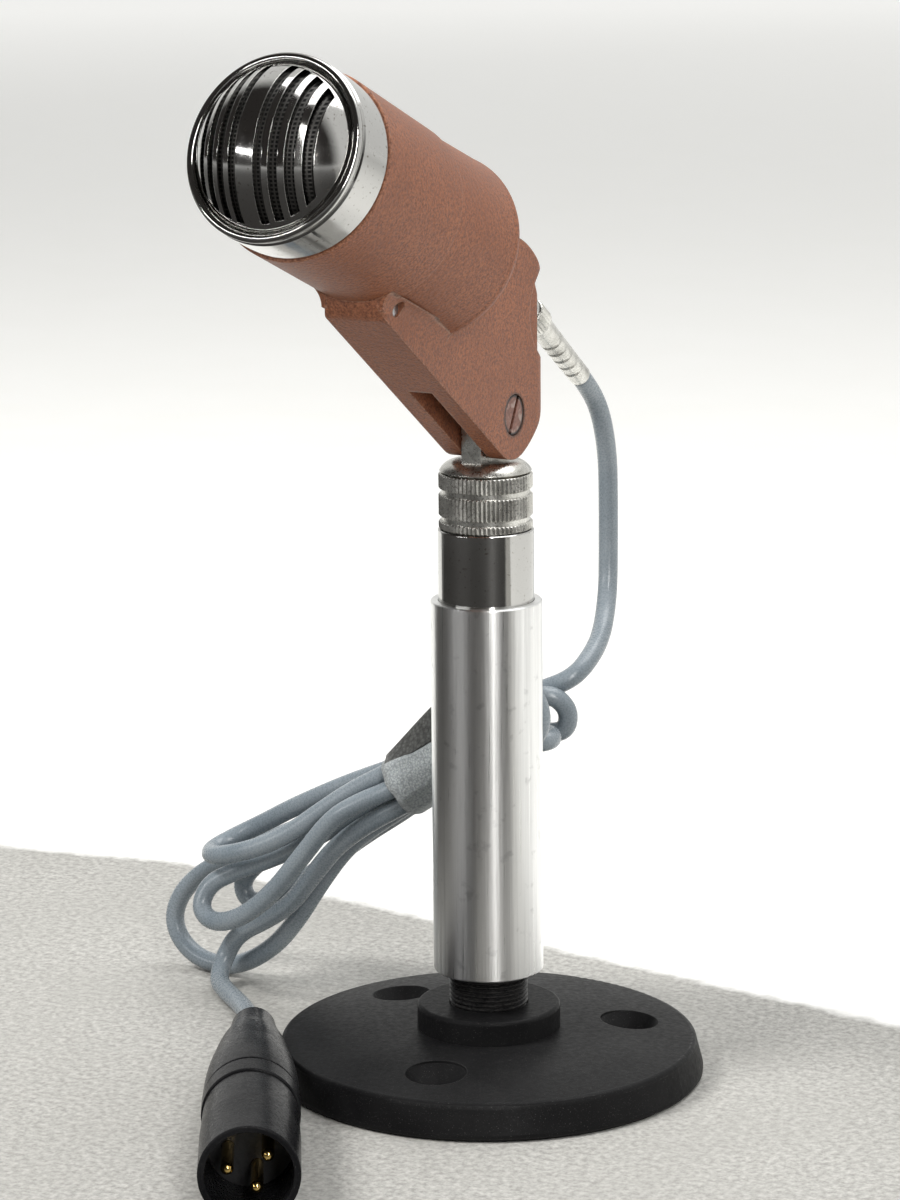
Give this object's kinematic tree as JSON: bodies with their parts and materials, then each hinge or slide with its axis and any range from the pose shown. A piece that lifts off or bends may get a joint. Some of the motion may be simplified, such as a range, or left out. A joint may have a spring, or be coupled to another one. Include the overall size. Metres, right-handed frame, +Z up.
{
  "type": "desktop microphone on a stand",
  "caption": "Desktop dynamic microphone on a short desk stand: slotted chrome dome grille, brown hammertone barrel and swivel, round flange base, cable hank and three-pin plug.",
  "frame": {"origin": "centre of the base flange's underside", "axes": "+Z up along the stand, the microphone faces -Y, its pivot bolt lies along X"},
  "size_m": [0.1415, 0.1573, 0.2103],
  "materials": {
    "base_black": "satin",
    "black_oxide": "satin",
    "tube_aluminium": "brushed",
    "chrome": "polished",
    "nickel": "satin",
    "hammertone": "hammered, glossy",
    "steel": "satin",
    "brass": "plain",
    "gold": "polished",
    "screen_mesh": "woven",
    "film": "gloss",
    "magnet_dark": "ground",
    "copper_wire": "enamelled",
    "board": "matt",
    "rubber_black": "matt",
    "insulator": "matt",
    "cable_grey": "satin",
    "strap_grey": "hook and loop",
    "friction_fibre": "matt"
  },
  "bodies": {
    "root": {"base_flange": "base_black", "hub_collar": "base_black", "threaded_stud": "black_oxide", "stand_tube": "tube_aluminium", "lower_bushing": "steel", "chrome_sleeve": "chrome", "top_nipple": "steel", "cable_lead": "cable_grey", "cable_hank": "cable_grey", "cable_strap": "strap_grey", "cable_tail": "cable_grey", "plug_shell": "rubber_black", "plug_insert": "insulator", "plug_pins": "gold", "plug_chuck": "insulator", "plug_boot": "rubber_black"},
    "collar": {"knurled_ring": "nickel"},
    "swivel": {"swivel_stem": "nickel", "thrust_washer": "brass", "stem_clip": "steel"},
    "microphone": {"swivel_housing": "hammertone", "mic_barrel": "hammertone", "rear_shell": "hammertone", "head_bezel": "chrome", "grille": "chrome", "grille_screen": "screen_mesh", "capsule_ring": "brass", "capsule_cup": "steel", "capsule_gasket": "rubber_black", "diaphragm": "film", "voice_coil": "copper_wire", "top_plate": "steel", "magnet": "magnet_dark", "pole_piece": "steel", "terminal_board": "board", "transformer_core": "magnet_dark", "transformer_coil": "copper_wire", "pivot_bolt": "black_oxide", "pivot_nut": "black_oxide", "friction_washers": "friction_fibre", "cross_pin": "steel", "connector_socket": "chrome", "connector_insert": "insulator", "connector_barrel": "chrome", "cable_drop": "cable_grey"},
    "coupling": {"connector_nut": "chrome"}
  },
  "joints": [
    {"name": "pan", "type": "hinge", "parent": "root", "child": "swivel", "pos_m": [0, 0, 0.1236], "axis": [0, 0, 1], "range_deg": [-30, 30]},
    {"name": "tilt", "type": "hinge", "parent": "swivel", "child": "microphone", "pos_m": [0, 0, 0.1352], "axis": [1, 0, 0], "range_deg": [-20, 38], "deforming": ["cable_drop"]},
    {"name": "collar_spin", "type": "hinge", "parent": "root", "child": "collar", "pos_m": [0, 0, 0.118], "axis": [0, 0, 1], "continuous": true},
    {"name": "connector_nut_spin", "type": "hinge", "parent": "microphone", "child": "coupling", "pos_m": [0, 0.0207, 0.1514], "axis": [0, 0.8151, -0.5793], "continuous": true}
  ]
}
